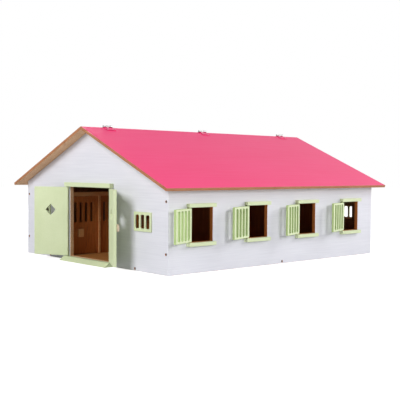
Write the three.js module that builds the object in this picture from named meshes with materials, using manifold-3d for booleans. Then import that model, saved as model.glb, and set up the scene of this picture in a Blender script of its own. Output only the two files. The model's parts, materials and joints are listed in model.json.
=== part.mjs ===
// A wooden toy stable: four walls on a floor plate, a roof of two panels hinged along the ridge,
// double doors in the front gable, shuttered windows in the side walls, and stalls with gates
// on both sides of an aisle.
// Millimetres, +Z up. X runs across the front gable, Y from the front to the rear, and the
// origin is the middle of the base at ground level.

import * as THREE from 'three';
import { mergeVertices } from 'three/addons/utils/BufferGeometryUtils.js';
import Module from 'manifold-3d';

const wasm = await Module();
wasm.setup();

// Clearances and cutting allowances
const seatGap = 0.3;
const pinClearance = 0.3;
const swingClearance = 0.3;
const cutOverrun = 1;

// Least solid width left beside a row of slots, both sides together
const slotRowMargin = 5;

// House
const houseWidth = 550;
const houseLength = 675;
const sideWallHeight = 178.6;
const wallThickness = 9;
const floorThickness = 9;

// Roof
const roofPitchDegrees = 23.5;
const roofThickness = 6;
const eaveOverhang = 25;
const gableOverhang = 25;

// Ridge hinges
const hingePlaceShares = [0.1, 0.5, 0.9];
const hingeLength = 25;
const hingeLeafWidth = 19;
const hingeLeafThickness = 0.9;
const hingeKnuckleRadius = 2.2;
const hingePinRadius = 1;
const knuckleGap = 0.4;

// Front door opening, its lintel and its ramp
const doorOpeningWidth = 160;
const doorOpeningTop = 170;
const doorTrimOverlap = 10.5;
const lintelHeight = 9.7;
const rampReach = 23.5;
const rampToeHeight = 0.8;

// Door leaves
const doorThickness = 6;
const doorPivotInset = 4;
const doorMiddleGap = 1.5;
const doorEndGap = 1;
const doorPinRadius = 1.5;
const doorPinReach = 7;
const diamondHalfDiagonal = 13.5;
const diamondHeight = 115.5;
const diamondFromHingeEdge = 46;
const leftDoorOpenDegrees = 152.5;
const rightDoorOpenDegrees = 151;

// Door knobs
const knobRadius = 8;
const knobProud = 6.5;
const knobNeckRadius = 6.5;
const knobNeckLength = 1.2;
const knobCrown = 0.9;
const knobSpigotRadius = 2.5;
const knobSpigotLength = 3.5;
const knobFromFreeEdge = 15;

// Windows and their rails
const rightWindowCount = 4;
const leftWindowCount = 3;
const firstWindowInset = 84.6;
const lastWindowInset = 92.7;
const leftWindowShift = 8;
const windowWidth = 70;
const windowHeight = 71.4;
const windowMiddleShare = 0.555;
const windowRailOverlap = 2.5;
const windowRailHeight = 7.7;

// Shutters
const shutterThickness = 5;
const shutterPivotInset = 4;
const shutterHingeEdgeInset = 1;
const shutterFreeEdgeInset = 1;
const shutterEndGap = 1.5;
const shutterPinRadius = 1;
const shutterPinReach = 6;
const shutterSlotWidth = 9.2;
const shutterSlotPitch = 14.7;
const shutterSlotCorner = 3;
const shutterEndRail = 4.5;
const rightShutterOpenDegrees = [157, 161.5, 161, 162.5];
const leftShutterOpenDegrees = [0, 0, 0];

// Ventilation grilles in both gables
const grilleWidth = 57.5;
const grilleHeight = 40;
const grilleThickness = 3;
const grilleFromCorner = 51.5;
const grilleCentreHeight = 103.6;
const grilleSlotWidth = 12;
const grilleSlotPitch = 17.3;
const grilleSlotCorner = 3;
const grilleEndRail = 6;
const grilleHoleMargin = 3;

// Stall fronts along the aisle
const aisleWidth = 188;
const stallBoardThickness = 6;
const stallFrontTop = 156;
const stallRailHeight = 9.4;
const stallTrimProud = 3;
const stallPostWidth = 6;
const stallPostFromGate = 7;
const stallSlotWidth = 8.4;
const stallSlotPitch = 15.3;
const stallSlotHeight = 48;
const stallSlotsBelowRail = 14.1;

// Stall gates
const gateWidth = 67.8;
const gateFromBayStart = 3.1;
const gatePivotInset = 4;
const gateEndGap = 0.8;
const gateFreeGap = 0.6;
const gatePinRadius = 1.5;
const gatePinLength = 4;
const latchWidth = 15;
const latchHeight = 19;
const latchProud = 6;
const latchFromFreeEdge = 24;
const latchBelowSlots = 15.5;

// Partitions between the stalls
const partitionThickness = 6;

// Fineness of round shapes
const slotEndSegments = 3;
const pinSegments = 12;
const knobSegments = 24;

// Places that follow from the sizes above
const pitch = THREE.MathUtils.degToRad(roofPitchDegrees);
const halfWidth = houseWidth / 2;
const halfLength = houseLength / 2;
const innerHalfWidth = halfWidth - wallThickness;
const innerHalfLength = halfLength - wallThickness;
const roofHalfWidth = halfWidth + eaveOverhang;
const roofHalfLength = halfLength + gableOverhang;
const slopedSeatGap = seatGap / Math.cos(pitch);
const ridgeHeight = sideWallHeight + seatGap + halfWidth * Math.tan(pitch)
  + roofThickness / Math.cos(pitch);
const windowPitch = (houseLength - firstWindowInset - lastWindowInset) / (rightWindowCount - 1);
const windowSill = sideWallHeight * windowMiddleShare - windowHeight / 2;
const windowRailLength = windowWidth + 2 * windowRailOverlap;
const doorTrimLength = doorOpeningWidth + 2 * doorTrimOverlap;
const grilleCentreX = halfWidth - grilleFromCorner - grilleWidth / 2;
const stallFrontX = aisleWidth / 2;
const stallBackX = stallFrontX + stallBoardThickness;
const stallRailBottom = stallFrontTop - stallRailHeight;
const stallSlotTop = stallRailBottom - stallSlotsBelowRail;
const stallSlotBottom = stallSlotTop - stallSlotHeight;

const roofTopAt = (x) => ridgeHeight - x * Math.tan(pitch);
const roofUndersideAt = (x) => roofTopAt(x) - roofThickness / Math.cos(pitch);
const swingStandoff = (inset, thickness) => Math.hypot(inset, thickness / 2) + swingClearance;
const windowY = (index) => firstWindowInset - halfLength + index * windowPitch;
const windowCentreY = (side, index) => windowY(index) + (side < 0 ? leftWindowShift : 0);

const stable = new THREE.Group();

// Colours and finishes
const finish = (color, roughness, metalness = 0) =>
  new THREE.MeshStandardMaterial({ color, roughness, metalness });
const whiteBoard = finish(0xe0e0e6, 0.55);
const pinkBoard = finish(0xf05a8c, 0.4);
const greenPaint = finish(0xcfe0ae, 0.5);
const brownBoard = finish(0x7a4a28, 0.75);
const paleWood = finish(0xe3c4aa, 0.6);
const zincSteel = finish(0xa8a8a6, 0.35, 0.9);

// Adds one named mesh to a parent
function place(name, geometry, material, parent = stable) {
  const mesh = new THREE.Mesh(geometry, material);
  mesh.name = name;
  parent.add(mesh);
}

// Adds a group turned about a vertical pivot
function pivotGroup(x, y, degrees) {
  const group = new THREE.Group();
  group.position.set(x, y, 0);
  group.rotation.z = THREE.MathUtils.degToRad(degrees);
  stable.add(group);
  return group;
}

// Turns a closed geometry into a solid for joins and cuts
function toSolid(geometry) {
  const bare = geometry.clone();
  bare.deleteAttribute('normal');
  bare.deleteAttribute('uv');
  const merged = mergeVertices(bare);
  return new wasm.Manifold(new wasm.Mesh({
    numProp: 3,
    vertProperties: new Float32Array(merged.attributes.position.array),
    triVerts: new Uint32Array(merged.index.array),
  }));
}

// Turns a solid back into a geometry
function toGeometry(solid) {
  const mesh = solid.getMesh();
  const geometry = new THREE.BufferGeometry();
  const positions = new Float32Array(mesh.vertProperties);
  geometry.setAttribute('position', new THREE.BufferAttribute(positions, 3));
  geometry.setIndex(new THREE.BufferAttribute(new Uint32Array(mesh.triVerts), 1));
  geometry.computeVertexNormals();
  return geometry;
}

// Joins the added geometries to a base and then cuts the others away
function combine(base, added, removed = []) {
  let solid = toSolid(base);
  for (const geometry of added) {
    solid = solid.add(toSolid(geometry));
  }
  for (const geometry of removed) {
    solid = solid.subtract(toSolid(geometry));
  }
  return toGeometry(solid);
}

// A box between two corners
function boxBetween(x0, x1, y0, y1, z0, z1) {
  const box = new THREE.BoxGeometry(x1 - x0, y1 - y0, z1 - z0);
  return box.translate((x0 + x1) / 2, (y0 + y1) / 2, (z0 + z1) / 2);
}

// A box on one side of the house, given by its distances from the middle
function sideBox(side, inner, outer, y0, y1, z0, z1) {
  return boxBetween(Math.min(side * inner, side * outer), Math.max(side * inner, side * outer),
    y0, y1, z0, z1);
}

// An upright round pin between two heights
function uprightPin(radius, x, y, z0, z1) {
  const pin = new THREE.CylinderGeometry(radius, radius, z1 - z0, pinSegments);
  return pin.rotateX(Math.PI / 2).translate(x, y, (z0 + z1) / 2);
}

// The bore for a pin, round enough for the flats of both to stay clear
const boreRadius = (pinRadius) => pinRadius + pinClearance;

// A closed outline through the given points
function outline(points) {
  return new THREE.Shape(points.map(([a, b]) => new THREE.Vector2(a, b)));
}

function rectangle(a0, a1, b0, b1) {
  return outline([[a0, b0], [a1, b0], [a1, b1], [a0, b1]]);
}

// An upright slot with round ends
function roundSlot(centre, bottom, top, width) {
  const radius = width / 2;
  const path = new THREE.Shape();
  path.absarc(centre, bottom + radius, radius, Math.PI, 0, false);
  path.absarc(centre, top - radius, radius, 0, Math.PI, false);
  path.closePath();
  return path;
}

// An upright slot with four small round corners
function squareSlot(centre, bottom, top, width, corner) {
  const quarterTurn = Math.PI / 2;
  const inset = width / 2 - corner;
  const path = new THREE.Shape();
  for (const [side, middle, turns] of [
    [-1, bottom + corner, 2], [1, bottom + corner, 3], [1, top - corner, 0], [-1, top - corner, 1],
  ]) {
    const start = turns * quarterTurn;
    path.absarc(centre + side * inset, middle, corner, start, start + quarterTurn, false);
  }
  path.closePath();
  return path;
}

// As many equal slots as a strip between two edges has room for, about the middle of the strip
const slotCount = (start, end, slotPitch) => Math.floor((end - start - slotRowMargin) / slotPitch);

function slotRow(start, end, slotPitch, slotAt) {
  const count = slotCount(start, end, slotPitch);
  const first = (start + end) / 2 - (count - 1) * slotPitch / 2;
  return Array.from({ length: count }, (_, i) => slotAt(first + i * slotPitch));
}

function extrude(shape, depth) {
  return new THREE.ExtrudeGeometry(shape, {
    depth,
    bevelEnabled: false,
    curveSegments: slotEndSegments,
  });
}

// A board standing across the house: the outline is in X and Z, and Y runs from y0 to y1
function crossBoard(shape, y0, y1, holes = []) {
  const board = extrude(shape, y1 - y0).rotateX(Math.PI / 2).translate(0, y1, 0);
  const cutters = holes.map((hole) => crossBoard(hole, y0 - cutOverrun, y1 + cutOverrun));
  return holes.length ? combine(board, [], cutters) : board;
}

// A board standing along the house: the outline is in Y and Z, and X runs from x0 to x1
function lengthBoard(shape, x0, x1, holes = []) {
  const turned = extrude(shape, x1 - x0).rotateX(Math.PI / 2).rotateZ(Math.PI / 2);
  const board = turned.translate(x0, 0, 0);
  const cutters = holes.map((hole) => lengthBoard(hole, x0 - cutOverrun, x1 + cutOverrun));
  return holes.length ? combine(board, [], cutters) : board;
}

// Places along one row of stalls, from the front to the rear
const partitionY = (index) => windowY(index) + windowPitch / 2;
const bayStart = (index) =>
  (index === 0 ? -innerHalfLength : partitionY(index - 1) + partitionThickness / 2);
const bayEnd = (index) =>
  (index === rightWindowCount - 1 ? innerHalfLength : partitionY(index) - partitionThickness / 2);
const gateStart = (index) => bayStart(index) + gateFromBayStart;
const gateEnd = (index) => gateStart(index) + gateWidth;
const gatePivotY = (index) => gateEnd(index) - gatePivotInset;
const gatePivotX = stallFrontX + stallBoardThickness / 2;
const gateHingeGap = swingStandoff(gatePivotInset, stallBoardThickness) - gatePivotInset;

// The floor plate lies between the walls and holds the lower pins of the gates
function floorPlate() {
  const plate = boxBetween(-innerHalfWidth, innerHalfWidth, -innerHalfLength, innerHalfLength,
    0, floorThickness);
  const holeDepth = gatePinLength - gateEndGap + pinClearance;
  const holes = [];
  for (const [side, count] of [[1, rightWindowCount], [-1, leftWindowCount]]) {
    for (let i = 0; i < count; i += 1) {
      holes.push(uprightPin(boreRadius(gatePinRadius), side * gatePivotX, gatePivotY(i),
        floorThickness - holeDepth, floorThickness + cutOverrun));
    }
  }
  return combine(plate, [], holes);
}

// A gable wall, with the holes behind its two grilles and, in front, the door opening
function gableWall(y0, y1, hasDoor) {
  const sideTop = roofUndersideAt(halfWidth) - slopedSeatGap;
  const apex = roofUndersideAt(0) - slopedSeatGap;
  const wall = outline([
    [-halfWidth, 0], [halfWidth, 0], [halfWidth, sideTop], [0, apex], [-halfWidth, sideTop],
  ]);
  const slotSteps = slotCount(0, grilleWidth, grilleSlotPitch) - 1;
  const holeHalfWidth = (slotSteps * grilleSlotPitch + grilleSlotWidth) / 2 + grilleHoleMargin;
  const holeHalfHeight = grilleHeight / 2 - grilleEndRail + grilleHoleMargin;
  const holes = [-1, 1].map((side) => rectangle(
    side * grilleCentreX - holeHalfWidth, side * grilleCentreX + holeHalfWidth,
    grilleCentreHeight - holeHalfHeight, grilleCentreHeight + holeHalfHeight,
  ));
  if (hasDoor) {
    holes.push(rectangle(-doorOpeningWidth / 2, doorOpeningWidth / 2, floorThickness, doorOpeningTop));
  }
  return crossBoard(wall, y0, y1, holes);
}

// A side wall between the gables, with its row of windows
function sideWall(side, windowCount) {
  const wall = rectangle(-innerHalfLength, innerHalfLength, 0, sideWallHeight);
  const holes = [];
  for (let i = 0; i < windowCount; i += 1) {
    const start = windowCentreY(side, i) - windowWidth / 2;
    holes.push(rectangle(start, start + windowWidth, windowSill, windowSill + windowHeight));
  }
  const x0 = side > 0 ? innerHalfWidth : -halfWidth;
  return lengthBoard(wall, x0, x0 + wallThickness, holes);
}

// A roof panel with a plumb cut at the ridge and a square cut at the eave
function roofPanel(side) {
  const ridgeX = seatGap / 2;
  const eaveTop = roofTopAt(roofHalfWidth);
  const points = [
    [ridgeX, roofTopAt(ridgeX)],
    [roofHalfWidth, eaveTop],
    [roofHalfWidth - roofThickness * Math.sin(pitch), eaveTop - roofThickness * Math.cos(pitch)],
    [ridgeX, roofUndersideAt(ridgeX)],
  ];
  return crossBoard(outline(points.map(([x, z]) => [side * x, z])), -roofHalfLength, roofHalfLength);
}

// Ridge hinges: the pin stands above the ridge so that the knuckles clear both slopes
const hingeAxisAboveRidge = (hingeKnuckleRadius + seatGap) / Math.cos(pitch);
const knuckleLength = hingeLength / 3;

// A strip of leaf on one slope, from a distance along the slope to the leaf's edge
function leafStrip(side, from, y0, y1) {
  const onSlope = (along, above) => [
    side * (along * Math.cos(pitch) + above * Math.sin(pitch)),
    ridgeHeight - along * Math.sin(pitch) + above * Math.cos(pitch),
  ];
  const top = seatGap + hingeLeafThickness;
  const strip = outline([
    onSlope(from, seatGap), onSlope(hingeLeafWidth, seatGap),
    onSlope(hingeLeafWidth, top), onSlope(from, top),
  ]);
  return crossBoard(strip, y0, y1);
}

// A round length on the hinge axis
function hingeRound(radius, y0, y1) {
  const round = new THREE.CylinderGeometry(radius, radius, y1 - y0, pinSegments);
  return round.translate(0, (y0 + y1) / 2, ridgeHeight + hingeAxisAboveRidge);
}

// The leaf on the fixed panel has the outer knuckles with the pin riveted in them
function fixedLeaf(centreY) {
  const start = centreY - hingeLength / 2;
  const end = centreY + hingeLength / 2;
  const underAxis = -hingeAxisAboveRidge * Math.sin(pitch);
  const plate = leafStrip(-1, hingeKnuckleRadius, start, end);
  const added = [hingeRound(hingePinRadius, start, end)];
  for (const [y0, y1] of [[start, start + knuckleLength], [end - knuckleLength, end]]) {
    added.push(leafStrip(-1, underAxis, y0, y1), hingeRound(hingeKnuckleRadius, y0, y1));
  }
  return combine(plate, added);
}

// The leaf on the lifting panel has the middle knuckle, which turns on the pin
function movingLeaf(centreY) {
  const y0 = centreY - knuckleLength / 2 + knuckleGap;
  const y1 = centreY + knuckleLength / 2 - knuckleGap;
  const underAxis = -hingeAxisAboveRidge * Math.sin(pitch);
  const plate = leafStrip(1, hingeKnuckleRadius, centreY - hingeLength / 2, centreY + hingeLength / 2);
  const knuckle = [leafStrip(1, underAxis, y0, y1), hingeRound(hingeKnuckleRadius, y0, y1)];
  const bore = hingeRound(boreRadius(hingePinRadius), y0 - cutOverrun, y1 + cutOverrun);
  return combine(plate, knuckle, [bore]);
}

// Doors: the leaf turns on pins in the lintel and the ramp, clear of the wall
const doorStandoff = swingStandoff(doorPivotInset, doorThickness);
const doorTrimDepth = 2 * doorStandoff;
const doorPivotX = doorTrimLength / 2 - doorPivotInset;
const doorPivotY = -halfLength - doorStandoff;
const doorWidth = (doorTrimLength - doorMiddleGap) / 2;
const doorBottom = floorThickness + doorEndGap;
const doorTop = doorOpeningTop - doorEndGap;
const doorBoreDepth = doorPinReach - doorEndGap + pinClearance;

function doorPins(z0, z1) {
  return [-1, 1].map((side) => uprightPin(doorPinRadius, side * doorPivotX, doorPivotY, z0, z1));
}

function doorLintel() {
  const top = doorOpeningTop + lintelHeight;
  const bar = boxBetween(-doorTrimLength / 2, doorTrimLength / 2, -halfLength - doorTrimDepth,
    -halfLength, doorOpeningTop, top);
  return combine(bar, doorPins(doorOpeningTop - doorPinReach, (doorOpeningTop + top) / 2));
}

function doorRamp() {
  const front = -halfLength;
  const profile = outline([
    [front, 0], [front, floorThickness], [front - doorTrimDepth, floorThickness],
    [front - rampReach, rampToeHeight], [front - rampReach, 0],
  ]);
  const ramp = lengthBoard(profile, -doorTrimLength / 2, doorTrimLength / 2);
  return combine(ramp, doorPins(floorThickness / 2, floorThickness + doorPinReach));
}

// A door leaf about its pivot, closed, reaching towards the middle of the doorway
function doorLeaf(side) {
  const hingeEdge = side * doorPivotInset;
  const towards = -side;
  const freeEdge = hingeEdge + towards * doorWidth;
  const leaf = rectangle(Math.min(hingeEdge, freeEdge), Math.max(hingeEdge, freeEdge),
    doorBottom, doorTop);
  const centre = hingeEdge + towards * diamondFromHingeEdge;
  const diamond = outline([
    [centre - diamondHalfDiagonal, diamondHeight], [centre, diamondHeight - diamondHalfDiagonal],
    [centre + diamondHalfDiagonal, diamondHeight], [centre, diamondHeight + diamondHalfDiagonal],
  ]);
  const board = crossBoard(leaf, -doorThickness / 2, doorThickness / 2, [diamond]);
  const spigotHole = knobRound(knobSpigotRadius + pinClearance, side, -doorThickness / 2 - cutOverrun,
    knobSpigotLength + pinClearance - doorThickness / 2);
  return combine(board, [], [
    uprightPin(boreRadius(doorPinRadius), 0, 0, doorBottom - cutOverrun, doorBottom + doorBoreDepth),
    uprightPin(boreRadius(doorPinRadius), 0, 0, doorTop - doorBoreDepth, doorTop + cutOverrun),
    spigotHole,
  ]);
}

const knobX = (side) => side * (doorPivotInset - doorWidth + knobFromFreeEdge);
const knobHeight = (doorBottom + doorTop) / 2;

// A round length on the knob's axis, from y0 to y1
function knobRound(radius, side, y0, y1) {
  const round = new THREE.CylinderGeometry(radius, radius, y1 - y0, pinSegments);
  return round.translate(knobX(side), (y0 + y1) / 2, knobHeight);
}

// A turned knob with a short neck, seated by a spigot in the leaf's outer face
function doorKnob(side) {
  const face = seatGap;
  const profile = [
    [0, -knobSpigotLength + seatGap], [knobSpigotRadius, -knobSpigotLength + seatGap],
    [knobSpigotRadius, face], [knobNeckRadius, face], [knobNeckRadius, face + knobNeckLength],
    [knobRadius, face + knobNeckLength + knobCrown], [knobRadius, knobProud - knobCrown],
    [knobRadius - knobCrown, knobProud], [0, knobProud],
  ];
  const knob = new THREE.LatheGeometry(profile.map(([r, y]) => new THREE.Vector2(r, y)), knobSegments);
  return knob.rotateX(Math.PI).translate(knobX(side), -doorThickness / 2, knobHeight);
}

// Windows: each shutter turns on pins in the rails above and below its window
const shutterStandoff = swingStandoff(shutterPivotInset, shutterThickness);
const windowRailDepth = 2 * shutterStandoff;
const shutterPivotX = halfWidth + shutterStandoff;
const shutterHingeEdge = windowRailLength / 2 - shutterHingeEdgeInset;
const shutterWidth = shutterHingeEdge + windowWidth / 2 - shutterFreeEdgeInset;
const shutterPivotY = (side, index) =>
  windowCentreY(side, index) - shutterHingeEdge + shutterPivotInset;
const shutterBottom = windowSill + shutterEndGap;
const shutterTop = windowSill + windowHeight - shutterEndGap;
const shutterBoreDepth = shutterPinReach - shutterEndGap + pinClearance;

// A rail whose pin reaches from its middle to the given height
function windowRail(side, index, z0, pinEnd) {
  const middle = z0 + windowRailHeight / 2;
  const start = windowCentreY(side, index) - windowRailLength / 2;
  const bar = sideBox(side, halfWidth, halfWidth + windowRailDepth,
    start, start + windowRailLength, z0, z0 + windowRailHeight);
  const pin = uprightPin(shutterPinRadius, side * shutterPivotX, shutterPivotY(side, index),
    Math.min(middle, pinEnd), Math.max(middle, pinEnd));
  return combine(bar, [pin]);
}

function upperWindowRail(side, index) {
  const windowTop = windowSill + windowHeight;
  return windowRail(side, index, windowTop, windowTop - shutterPinReach);
}

function lowerWindowRail(side, index) {
  return windowRail(side, index, windowSill - windowRailHeight, windowSill + shutterPinReach);
}

// A shutter about its pivot, closed, reaching towards the rear
function shutterLeaf() {
  const hingeEdge = -shutterPivotInset;
  const freeEdge = hingeEdge + shutterWidth;
  const leaf = rectangle(hingeEdge, freeEdge, shutterBottom, shutterTop);
  const slots = slotRow(hingeEdge, freeEdge, shutterSlotPitch, (centre) => squareSlot(centre,
    shutterBottom + shutterEndRail, shutterTop - shutterEndRail, shutterSlotWidth,
    shutterSlotCorner));
  const board = lengthBoard(leaf, -shutterThickness / 2, shutterThickness / 2, slots);
  const bore = boreRadius(shutterPinRadius);
  return combine(board, [], [
    uprightPin(bore, 0, 0, shutterBottom - cutOverrun, shutterBottom + shutterBoreDepth),
    uprightPin(bore, 0, 0, shutterTop - shutterBoreDepth, shutterTop + cutOverrun),
  ]);
}

// A slotted plate on the outside of a gable
function grille(centreX, y0, y1) {
  const start = centreX - grilleWidth / 2;
  const end = centreX + grilleWidth / 2;
  const bottom = grilleCentreHeight - grilleHeight / 2;
  const top = grilleCentreHeight + grilleHeight / 2;
  const plate = rectangle(start, end, bottom, top);
  const slots = slotRow(start, end, grilleSlotPitch, (centre) => squareSlot(centre,
    bottom + grilleEndRail, top - grilleEndRail, grilleSlotWidth, grilleSlotCorner));
  return crossBoard(plate, y0, y1, slots);
}

const stallSlot = (centre) => roundSlot(centre, stallSlotBottom, stallSlotTop, stallSlotWidth);

// A stall front: a slotted board with a gateway for each stall, a rail and a post by each gate
function stallFront(side, stallCount, end) {
  const start = -innerHalfLength;
  const board = rectangle(start, end, floorThickness, stallFrontTop);
  const slots = [];
  const posts = [];
  const cuts = [];
  for (let i = 0; i < stallCount; i += 1) {
    const postStart = gateEnd(i) + stallPostFromGate;
    const postEnd = postStart + stallPostWidth;
    slots.push(...slotRow(postEnd, bayEnd(i), stallSlotPitch, stallSlot));
    posts.push(sideBox(side, stallFrontX - stallTrimProud, stallBackX, postStart, postEnd,
      floorThickness, stallRailBottom + stallRailHeight / 2));
    const cutStart = i === 0 ? start - cutOverrun : gateStart(i) - gateFreeGap;
    cuts.push(sideBox(side, stallFrontX - cutOverrun, stallBackX + cutOverrun, cutStart,
      gateEnd(i) + gateHingeGap, floorThickness - cutOverrun, stallRailBottom));
    cuts.push(uprightPin(boreRadius(gatePinRadius), side * gatePivotX, gatePivotY(i),
      stallRailBottom - cutOverrun, stallRailBottom + gatePinLength - gateEndGap + pinClearance));
  }
  const x0 = Math.min(side * stallFrontX, side * stallBackX);
  const sheet = lengthBoard(board, x0, x0 + stallBoardThickness, slots);
  const rail = sideBox(side, stallFrontX - stallTrimProud, stallBackX, start, end,
    stallRailBottom, stallFrontTop);
  return combine(sheet, [rail, ...posts], cuts);
}

// A stall gate about its pivot, closed, reaching towards the front, with its latch block
function stallGate(side) {
  const bottom = floorThickness + gateEndGap;
  const top = stallRailBottom - gateEndGap;
  const freeEdge = gatePivotInset - gateWidth;
  const leaf = rectangle(freeEdge, gatePivotInset, bottom, top);
  const slots = slotRow(freeEdge, gatePivotInset, stallSlotPitch, stallSlot);
  const half = stallBoardThickness / 2;
  const board = lengthBoard(leaf, -half, half, slots);
  const latchCentre = freeEdge + latchFromFreeEdge;
  const latchTop = stallSlotBottom - latchBelowSlots;
  const latch = sideBox(-side, 0, half + latchProud, latchCentre - latchWidth / 2,
    latchCentre + latchWidth / 2, latchTop - latchHeight, latchTop);
  return combine(board, [
    latch,
    uprightPin(gatePinRadius, 0, 0, bottom - gatePinLength, bottom + gatePinLength),
    uprightPin(gatePinRadius, 0, 0, top - gatePinLength, top + gatePinLength),
  ]);
}

function partition(side, index) {
  return sideBox(side, stallBackX, innerHalfWidth, partitionY(index) - partitionThickness / 2,
    partitionY(index) + partitionThickness / 2, floorThickness, stallRailBottom);
}

// Shell of the house
place('floor_plate', floorPlate(), brownBoard);
place('front_gable_wall', gableWall(-halfLength, -innerHalfLength, true), whiteBoard);
place('rear_gable_wall', gableWall(innerHalfLength, halfLength, false), whiteBoard);
place('right_side_wall', sideWall(1, rightWindowCount), whiteBoard);
place('left_side_wall', sideWall(-1, leftWindowCount), whiteBoard);

// Roof and its hinges
place('left_roof_panel', roofPanel(-1), pinkBoard);
place('right_roof_panel', roofPanel(1), pinkBoard);
hingePlaceShares.forEach((share, i) => {
  const centreY = (2 * share - 1) * roofHalfLength;
  place(`ridge_hinge_fixed_leaf_${i + 1}`, fixedLeaf(centreY), zincSteel);
  place(`ridge_hinge_moving_leaf_${i + 1}`, movingLeaf(centreY), zincSteel);
});

// Doorway
place('door_lintel', doorLintel(), greenPaint);
place('door_ramp', doorRamp(), greenPaint);
for (const [name, side, degrees] of [
  ['left_door', -1, -leftDoorOpenDegrees], ['right_door', 1, rightDoorOpenDegrees],
]) {
  const hung = pivotGroup(side * doorPivotX, doorPivotY, degrees);
  place(name, doorLeaf(side), greenPaint, hung);
  place(`${name}_knob`, doorKnob(side), paleWood, hung);
}

// Grilles
for (const [name, side] of [['left', -1], ['right', 1]]) {
  place(`front_${name}_grille`,
    grille(side * grilleCentreX, -halfLength - grilleThickness, -halfLength), greenPaint);
  place(`rear_${name}_grille`,
    grille(side * grilleCentreX, halfLength, halfLength + grilleThickness), greenPaint);
}

// Windows, shutters and gates on both sides
for (const [name, side, angles] of [
  ['right', 1, rightShutterOpenDegrees], ['left', -1, leftShutterOpenDegrees],
]) {
  const windowCount = side > 0 ? rightWindowCount : leftWindowCount;
  for (let i = 0; i < windowCount; i += 1) {
    place(`${name}_window_upper_rail_${i + 1}`, upperWindowRail(side, i), greenPaint);
    place(`${name}_window_lower_rail_${i + 1}`, lowerWindowRail(side, i), greenPaint);
    const hungShutter = pivotGroup(side * shutterPivotX, shutterPivotY(side, i), -side * angles[i]);
    place(`${name}_shutter_${i + 1}`, shutterLeaf(), greenPaint, hungShutter);
    const hungGate = pivotGroup(side * gatePivotX, gatePivotY(i), 0);
    place(`${name}_stall_gate_${i + 1}`, stallGate(side), brownBoard, hungGate);
  }
}

// Stalls
const leftStallEnd = partitionY(leftWindowCount - 1) + partitionThickness / 2;
place('right_stall_front', stallFront(1, rightWindowCount, innerHalfLength), brownBoard);
place('left_stall_front', stallFront(-1, leftWindowCount, leftStallEnd), brownBoard);
for (const [name, side] of [['right', 1], ['left', -1]]) {
  for (let i = 0; i < rightWindowCount - 1; i += 1) {
    place(`${name}_partition_${i + 1}`, partition(side, i), brownBoard);
  }
}

export default stable;
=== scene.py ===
# The looks of a wooden toy stable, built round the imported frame.
# Metres, +Z up. X runs across the front gable, Y from the front to the rear.

import json
import math

import bmesh
import bpy
from mathutils import Matrix, Vector


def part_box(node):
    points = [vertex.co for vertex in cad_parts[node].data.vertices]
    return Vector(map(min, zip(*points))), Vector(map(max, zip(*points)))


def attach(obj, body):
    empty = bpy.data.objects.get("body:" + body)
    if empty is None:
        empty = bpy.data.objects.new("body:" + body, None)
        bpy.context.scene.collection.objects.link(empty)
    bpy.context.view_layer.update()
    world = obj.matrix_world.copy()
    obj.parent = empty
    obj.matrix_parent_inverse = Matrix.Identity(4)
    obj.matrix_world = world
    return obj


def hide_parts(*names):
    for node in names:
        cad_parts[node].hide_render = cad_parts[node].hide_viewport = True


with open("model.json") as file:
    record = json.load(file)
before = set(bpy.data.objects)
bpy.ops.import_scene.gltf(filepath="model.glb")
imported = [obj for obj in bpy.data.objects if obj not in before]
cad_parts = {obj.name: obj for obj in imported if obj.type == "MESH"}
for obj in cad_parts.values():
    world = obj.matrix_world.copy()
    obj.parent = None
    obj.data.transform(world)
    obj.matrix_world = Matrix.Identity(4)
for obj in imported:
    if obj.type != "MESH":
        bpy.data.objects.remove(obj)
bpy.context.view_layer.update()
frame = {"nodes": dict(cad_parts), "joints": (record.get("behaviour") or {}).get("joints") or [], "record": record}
scene = bpy.context.scene

# Camera, fitted to the photograph, with its lens and sensor in millimetres
camera_place = (1.4355, -1.3017, 0.21233)
camera_azimuth_degrees = 47.92
camera_elevation_degrees = -2.31
camera_roll_degrees = 0.43
camera_lens = 68.9
camera_sensor = 36

# Studio
lamp_target = (0, 0, 0.12)
front_lamp_place = (0.2, -2.36, 1.4)
front_lamp_size = 1.1
front_lamp_power = 45.3
side_lamp_place = (1.72, -0.33, 0.52)
side_lamp_size = 0.35
side_lamp_power = 8.2
rear_lamp_place = (1.6, 1.7, 1.4)
rear_lamp_size = 1.4
rear_lamp_power = 41
left_lamp_place = (-1.9, 0.6, 0.9)
left_lamp_size = 1.0
left_lamp_power = 16
ambient_level = 0.13
overhead_in_gloss = 0.4
bright_band_height = 0.38
dim_overhead_height = 0.62
floor_size = 12
floor_shade = 200
floor_drop = 0.0002
floor_glow = 0.78
glow_start = 0.5
glow_end = 1.6

# Fineness of round shapes
slot_end_steps = 12
circle_steps = 32
corner_steps = 2
rim_steps = 2
corner_arc_steps = 6
knob_rim_steps = 10
least_corner_degrees = 30
weld_distance = 0.000001

# Rounding of the boards' edges
wall_rounding = 0.0003
roof_rounding = 0.0004
paint_rounding = 0.0006
ramp_rounding = 0.0002
stall_rounding = 0.0004
latch_rounding = 0.0012
steel_rounding = 0.0002
corner_rounding_share = 1.6
flat_face = 0.99

# Roof
roof_pitch_degrees = 23.5
roof_thickness = 0.006
seat_gap = 0.0003

# Ridge hinges
hinge_length = 0.025
hinge_leaf_width = 0.019
hinge_leaf_thickness = 0.0009
hinge_knuckle_radius = 0.0022
hinge_pin_radius = 0.001
hinge_count = 3
hinge_knuckle_count = 3
hinge_play = 0.0001
hinge_knuckle_gap = 0.0004
hinge_leaf_corner = 0.002
hinge_screw_radius = 0.0022
hinge_screw_down_slope = 0.013
hinge_screw_from_middle = 0.0084
hinge_screw_proud = 0.0002

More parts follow.
